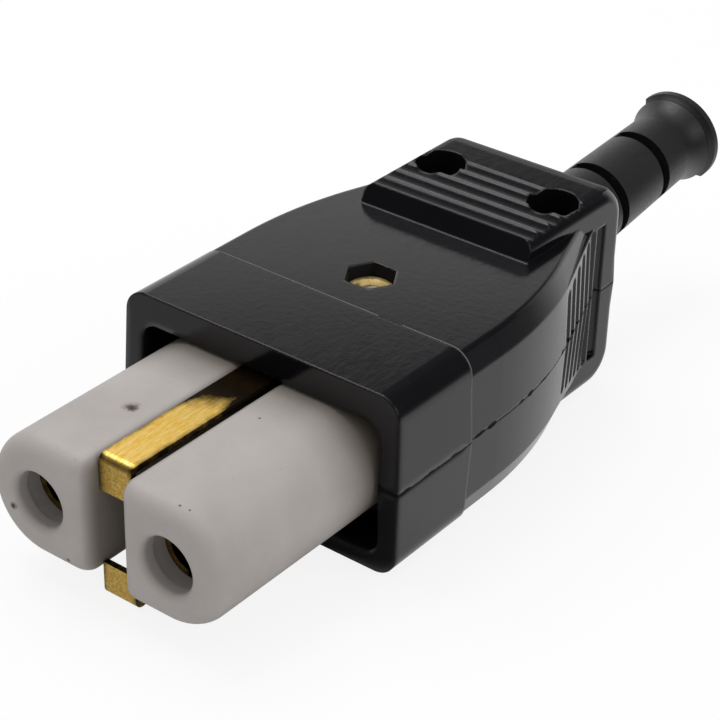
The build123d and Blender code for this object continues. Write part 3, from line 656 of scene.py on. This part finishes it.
# %% Dirt, painted shade and scratches on the brass
stain_size = 1.6 * mm
stain = add_node(
    tree, "ShaderNodeTexNoise",
    {"Vector": place, "Scale": 1 / stain_size, "Detail": 6.0, "Roughness": 0.65},
)
dirt_and_shade_mix = add_node(
    tree, "ShaderNodeMath", {0: stain, 1: 0.9, 2: dirt_and_painted_shade}, operation="MULTIPLY_ADD",
)
dirt_and_shade_mix = add_node(tree, "ShaderNodeMapRange", {"Value": dirt_and_shade_mix, "From Min": 0.55, "From Max": 1.25})
metal = add_node(
    tree, "ShaderNodeMix", {"Factor": dirt_and_shade_mix, "A": metal, "B": linear("#1f160a")},
    data_type="RGBA",
)
tree.links.new(metal.outputs[2], shader.inputs["Base Color"])
worn = add_node(
    tree, "ShaderNodeMapRange",
    {"Value": scratch, "From Min": 0.45, "From Max": 0.75, "To Min": 0.46, "To Max": 0.30},
)
tree.links.new(worn.outputs[0], shader.inputs["Roughness"])
scratch_bump = add_node(
    tree, "ShaderNodeBump", {"Height": scratch, "Distance": 0.03 * mm, "Strength": 0.9},
)
tree.links.new(scratch_bump.outputs[0], shader.inputs["Normal"])
print("brass nodes", len(tree.nodes))

# %% [markdown]
# The screws and springs are steel with a thin zinc plating: grey, satin, and
# never as bright as chrome. The plating's crystals are drawn 0.6 mm wide,
# coarser than real ones, to give the satin its grain.

# %% Plated steel
plated_steel, tree, shader, place = new_finish("steel_zinc_plated", Metallic=1.0)
crystal_size = 0.6 * mm
crystal = add_node(
    tree, "ShaderNodeTexNoise", {"Vector": place, "Scale": 1 / crystal_size, "Detail": 4.0},
)
zinc = add_node(
    tree, "ShaderNodeMix", {"Factor": crystal, "A": linear("#6f7072"), "B": linear("#9b9c9f")},
    data_type="RGBA",
)
tree.links.new(zinc.outputs[2], shader.inputs["Base Color"])
satin = add_node(
    tree, "ShaderNodeMapRange",
    {"Value": crystal, "From Min": 0.3, "From Max": 0.7, "To Min": 0.3, "To Max": 0.5},
)
tree.links.new(satin.outputs[0], shader.inputs["Roughness"])
crystal_bump = add_node(tree, "ShaderNodeBump", {"Height": crystal, "Distance": 0.01 * mm})
tree.links.new(crystal_bump.outputs[0], shader.inputs["Normal"])
print("steel nodes", len(tree.nodes))

# %% [markdown]
# The guard is soft natural rubber filled with carbon black, moulded in two
# halves. It is matt, with a bloom of grey dust on its skin, and it picks up
# lint. Slow noise gives the bloom, fine noise the skin, and the cells of a
# Voronoi pattern give the lint.

# %% Rubber
rubber, tree, shader, place = new_finish("rubber_moulded", IOR=1.52)
bloom_size, skin_size = 4 * mm, 0.35 * mm
lint_gap, lint_fleck = 2.4 * mm, 0.035
bloom = add_node(
    tree, "ShaderNodeTexNoise", {"Vector": place, "Scale": 1 / bloom_size, "Detail": 5.0},
)
bloom_mask = add_node(
    tree, "ShaderNodeMapRange", {"Value": bloom, "From Min": 0.3, "From Max": 0.7},
)
soot = add_node(
    tree, "ShaderNodeMix", {"Factor": bloom_mask, "A": linear("#0d0c0e"), "B": linear("#151416")},
    data_type="RGBA",
)
lint = add_node(tree, "ShaderNodeTexVoronoi", {"Vector": place, "Scale": 1 / lint_gap})
lint_mask = add_node(
    tree, "ShaderNodeMath", {0: lint.outputs["Distance"], 1: lint_fleck}, operation="LESS_THAN",
)
soot = add_node(
    tree, "ShaderNodeMix",
    {"Factor": add_node(tree, "ShaderNodeMath", {0: lint_mask, 1: 0.5}, operation="MULTIPLY"),
     "A": soot, "B": linear("#8d8b8e")},
    data_type="RGBA",
)
tree.links.new(soot.outputs[2], shader.inputs["Base Color"])
skin = add_node(
    tree, "ShaderNodeTexNoise", {"Vector": place, "Scale": 1 / skin_size, "Detail": 4.0},
)
dull = add_node(
    tree, "ShaderNodeMapRange",
    {"Value": skin, "From Min": 0.3, "From Max": 0.7, "To Min": 0.36, "To Max": 0.5},
)
tree.links.new(dull.outputs[0], shader.inputs["Roughness"])
skin_bump = add_node(tree, "ShaderNodeBump", {"Height": skin, "Distance": 0.02 * mm})
tree.links.new(skin_bump.outputs[0], shader.inputs["Normal"])
print("rubber nodes", len(tree.nodes))

# %% [markdown]
# Every solid of the plug is made of one of these five stocks, and its record
# names which. The solids already have the real one's form, so they keep their
# meshes and get only a finish. Going through the record dresses the hidden
# pieces too, which a typed list could miss.

# %% Dress the CAD nodes
finishes = {
    "bakelite": bakelite, "ceramic": steatite, "brass": brass,
    "steel": plated_steel, "rubber": rubber,
}
for entry in frame["record"]["subparts"]:
    mesh = nodes[entry["node"]].data
    mesh.materials.clear()
    mesh.materials.append(finishes[entry["material_slot"]])

# %% [markdown]
# Three small pieces are finer than the solids: two beads of flash and a
# threaded nut. They start as bmeshes. A finished one gets smooth faces that
# stay crisp at real edges, the finish and slot of its stock, and a body to ride
# on.

# %% Piece helper
crisp_angle = radians(35)


def make_piece(shape, name, finish):
    """An object from a bmesh, at the origin, with its finish and its body."""
    mesh = bpy.data.meshes.new(name)
    shape.to_mesh(mesh)
    shape.free()
    mesh.shade_smooth()
    mesh.set_sharp_from_angle(angle=crisp_angle)
    mesh.materials.append(finish)
    piece = bpy.data.objects.new(name, mesh)
    bpy.context.scene.collection.objects.link(piece)
    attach(piece, "root")
    print(name, "faces", len(mesh.polygons))
    return piece


print("edges are crisp from", round(crisp_angle, 2), "radians")

# %% [markdown]
# Where the mould's two inserts meet, the resin has run out into a hair of flash along the
# collar's back edge. It is torn and duller than the polished skin, and its pale grey is a painted
# highlight: the bright line that the collar's back edge catches. A bead could be a curve with a
# thickness, but a six-sided ring drawn out along the edge is a closed mesh at once.

# %% Bead of flash
# The bead's pale grey is a painted highlight along the collar's back edge.
flash_highlight_finish = new_finish(
    "bakelite_flash_painted_highlight", Base_Color=linear("#6d6b6f"), IOR=1.5, Roughness=0.5,
)[0]
bead_radius = 0.07 * mm
collar_top_z = parting_z + 12.0 * mm


def bead_start(x):
    """A six-sided ring across the x direction, on the collar's back top edge."""
    shape = bmesh.new()
    across = Matrix.Rotation(pi / 2, 3, "Y")
    ring = bmesh.ops.create_circle(shape, cap_ends=True, segments=6, radius=bead_radius)
    bmesh.ops.rotate(shape, verts=ring["verts"], cent=(0, 0, 0), matrix=across)
    bmesh.ops.translate(shape, verts=ring["verts"], vec=(x, collar_back_y, collar_top_z))
    return shape


def draw_out(shape, faces, vector):
    """The faces drawn out along a vector, with the new end faces."""
    drawn = bmesh.ops.extrude_face_region(shape, geom=faces)["geom"]
    ends = [g for g in drawn if isinstance(g, bmesh.types.BMVert)]
    bmesh.ops.translate(shape, verts=ends, vec=vector)
    return [g for g in drawn if isinstance(g, bmesh.types.BMFace)]


print("bead radius", round(bead_radius / mm, 3), "mm")

# %% [markdown]
# On the real plug the flash is broken off in one place, so it is two beads. The
# left one is straight. The right one goes on round the collar's upper edge, by
# a spin about that edge's own centre, and ends a little way down the side.

# %% Flash along the collar
left_start, left_end, right_start = -17.6 * mm, 6.9 * mm, 10.4 * mm
edge_radius = 3.0 * mm
edge_inset = 3.32 * mm
edge_turn = radians(88)
edge_centre_x = shell_high.x - edge_inset
edge_centre_z = collar_top_z - edge_radius
side_end = (0.05 * mm, 0, -1.5 * mm)

shape = bead_start(left_start)
draw_out(shape, shape.faces[:], (left_end - left_start, 0, 0))
bmesh.ops.recalc_face_normals(shape, faces=shape.faces)
make_piece(shape, "flash_highlight_collar_left", flash_highlight_finish)

shape = bead_start(right_start)
end = draw_out(shape, shape.faces[:], (edge_centre_x - right_start, 0, 0))
spun = bmesh.ops.spin(
    shape, geom=end, cent=(edge_centre_x, 0, edge_centre_z), axis=(0, 1, 0),
    angle=edge_turn, steps=10,
)["geom_last"]
end = [g for g in spun if isinstance(g, bmesh.types.BMFace)]
draw_out(shape, end, side_end)
bmesh.ops.recalc_face_normals(shape, faces=shape.faces)
make_piece(shape, "flash_highlight_collar_right", flash_highlight_finish)

# %% [markdown]
# The nut is brass too, but turned from bar, and no pin ever rubs it, so it has
# no scratches. In its deep recess it keeps a golden tint, with brown tarnish in
# soft spots that one noise gives.

# %% Turned brass
turned_brass, tree, shader, place = new_finish("brass_turned", Metallic=1.0, Roughness=0.5)
tarnish_size = 0.7 * mm
tarnish = add_node(
    tree, "ShaderNodeTexNoise", {"Vector": place, "Scale": 1 / tarnish_size, "Detail": 5.0},
)
tarnish = add_node(
    tree, "ShaderNodeMapRange", {"Value": tarnish, "From Min": 0.5, "From Max": 0.8},
)
golden = add_node(
    tree, "ShaderNodeMix", {"Factor": tarnish, "A": linear("#f3d796"), "B": linear("#8a6630")},
    data_type="RGBA",
)
tree.links.new(golden.outputs[2], shader.inputs["Base Color"])
print("turned brass nodes", len(tree.nodes))

# %% [markdown]
# A brass nut is turned and threaded as a ring, chamfered on top, and then its
# six flats are milled. The bmesh does the same. First a profile with the
# thread's teeth is spun into a ring. A real thread is a helix, but rings of
# teeth look the same at this size and close by themselves.

# %% Threaded ring
hole, tooth, thread_pitch = 1.5 * mm, 0.22 * mm, 0.5 * mm
chamfer, mouth_chamfer, mouth_width = 0.35 * mm, 0.3 * mm, 0.55 * mm
plain_foot, flat_rim = 0.4 * mm, 0.1 * mm
nut_flats = nut_high.y - nut_low.y
nut_corner = nut_flats / 2 / cos(radians(30))
thickness = nut_high.z - nut_low.z

shape = bmesh.new()
outline = [
    (hole + tooth, 0), (nut_corner, 0), (nut_corner, thickness - chamfer),
    (nut_flats / 2 - flat_rim, thickness), (hole + mouth_width, thickness),
    (hole + tooth, thickness - mouth_chamfer),
]
teeth = int((thickness - plain_foot) / thread_pitch)
for turn in range(teeth):
    crest_z = thickness - mouth_chamfer - (turn + 0.5) * thread_pitch
    outline += [(hole, crest_z), (hole + tooth, crest_z - thread_pitch / 2)]
points = [shape.verts.new((r, 0, z)) for r, z in outline]
loop = [shape.edges.new((a, b)) for a, b in zip(points, points[1:] + points[:1])]
bmesh.ops.spin(
    shape, geom=points + loop, cent=(0, 0, 0), axis=(0, 0, 1),
    angle=2 * pi, steps=48, use_merge=True,
)
bmesh.ops.remove_doubles(shape, verts=shape.verts, dist=0.001 * mm)
bmesh.ops.recalc_face_normals(shape, faces=shape.faces)
print("teeth", teeth)

# %% [markdown]
# Then the flats are milled. Each is a plane that cuts the ring and clears what
# lies outside. The open cut is closed with a face, so the nut is solid again
# before the next cut, and at the end it takes the place of the plain nut.

# %% Centre nut
for flat in range(6):
    outwards = Vector((sin(radians(60 * flat)), cos(radians(60 * flat)), 0))
    cut = bmesh.ops.bisect_plane(
        shape, geom=shape.verts[:] + shape.edges[:] + shape.faces[:],
        plane_co=outwards * nut_flats / 2, plane_no=outwards, clear_outer=True,
    )["geom_cut"]
    rim = [g for g in cut if isinstance(g, bmesh.types.BMEdge)]
    bmesh.ops.edgenet_fill(shape, edges=rim)
bmesh.ops.recalc_face_normals(shape, faces=shape.faces)
bmesh.ops.translate(shape, verts=shape.verts, vec=(nut_centre.x, nut_centre.y, nut_low.z))
nut = make_piece(shape, "centre_nut_threaded", turned_brass)
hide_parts("centre_nut")

# %% [markdown]
# The light is a studio: soft light from above, the paper sweep behind the plug
# up to about thirty degrees, and a dark room above that. Diffuse surfaces are
# lit evenly, and only mirrored rays see the edge of the paper. A picture of a
# studio could do this, but these few numbers are easier to match to the photo.

# %% World
world = bpy.data.worlds.new("studio")
bpy.context.scene.world = world
world.use_nodes = True
tree = world.node_tree
direction = add_node(tree, "ShaderNodeTexCoord").outputs["Generated"]
rise = add_node(tree, "ShaderNodeSeparateXYZ", {"Vector": direction}).outputs["Z"]
paper_fade = add_node(
    tree, "ShaderNodeMapRange",
    {"Value": rise, "From Min": 0.38, "From Max": 0.50, "To Min": 1.0, "To Max": 0.72},
)
paper_edge = add_node(
    tree, "ShaderNodeMapRange",
    {"Value": rise, "From Min": 0.487, "From Max": 0.512, "To Min": 1.0, "To Max": 0.08},
)
paper_level = add_node(
    tree, "ShaderNodeMath", {0: paper_fade, 1: paper_edge}, operation="MINIMUM",
)
mirrored = add_node(
    tree, "ShaderNodeMath", {0: paper_level, 1: paper_sweep(tree, direction)},
    operation="MULTIPLY",
)
overhead = add_node(
    tree, "ShaderNodeMapRange",
    {"Value": rise, "From Min": 0.78, "From Max": 0.92, "To Min": 0.06, "To Max": 0.9},
)
mirrored = add_node(tree, "ShaderNodeMath", {0: mirrored, 1: overhead}, operation="MAXIMUM")
soft_light = add_node(
    tree, "ShaderNodeMapRange",
    {"Value": rise, "From Min": -0.1, "From Max": 0.9, "To Min": 0.3, "To Max": 0.8},
)
rays = add_node(tree, "ShaderNodeLightPath").outputs
level = add_node(
    tree, "ShaderNodeMix", {"Factor": rays["Is Glossy Ray"], "A": soft_light, "B": mirrored},
)
level = add_node(
    tree, "ShaderNodeMix", {"Factor": rays["Is Camera Ray"], "A": level, "B": 1.0},
)
surround = tree.nodes["Background"]
surround.inputs["Color"].default_value = linear("#ffffff")
tree.links.new(level.outputs[0], surround.inputs["Strength"])
print("world nodes", len(tree.nodes))

# %% [markdown]
# Two soft boxes give the light a direction: a large one above and to the left,
# and a weaker one at the right that fills the plug's long side. Square area
# lamps make the soft shadow of a studio, where a sun would draw a hard one.


# %% Lamps
def soft_box(name, where, size, power):
    """A square lamp at a place, turned to face the plug at the origin."""
    lamp = bpy.data.objects.new(name, bpy.data.lights.new(name, "AREA"))
    lamp.data.shape = "SQUARE"
    lamp.data.size = size
    lamp.data.energy = power
    lamp.location = where
    lamp.rotation_euler = (-Vector(where)).to_track_quat("-Z", "Y").to_euler()
    bpy.context.scene.collection.objects.link(lamp)
    return lamp


key = soft_box("key", where=(-0.25, 0.05, 0.55), size=0.4, power=1.7)
side = soft_box("side", where=(0.5, 0.1, 0.3), size=0.35, power=0.6)
bpy.context.scene.view_settings.view_transform = "Standard"
print("lamps", key.name, side.name)
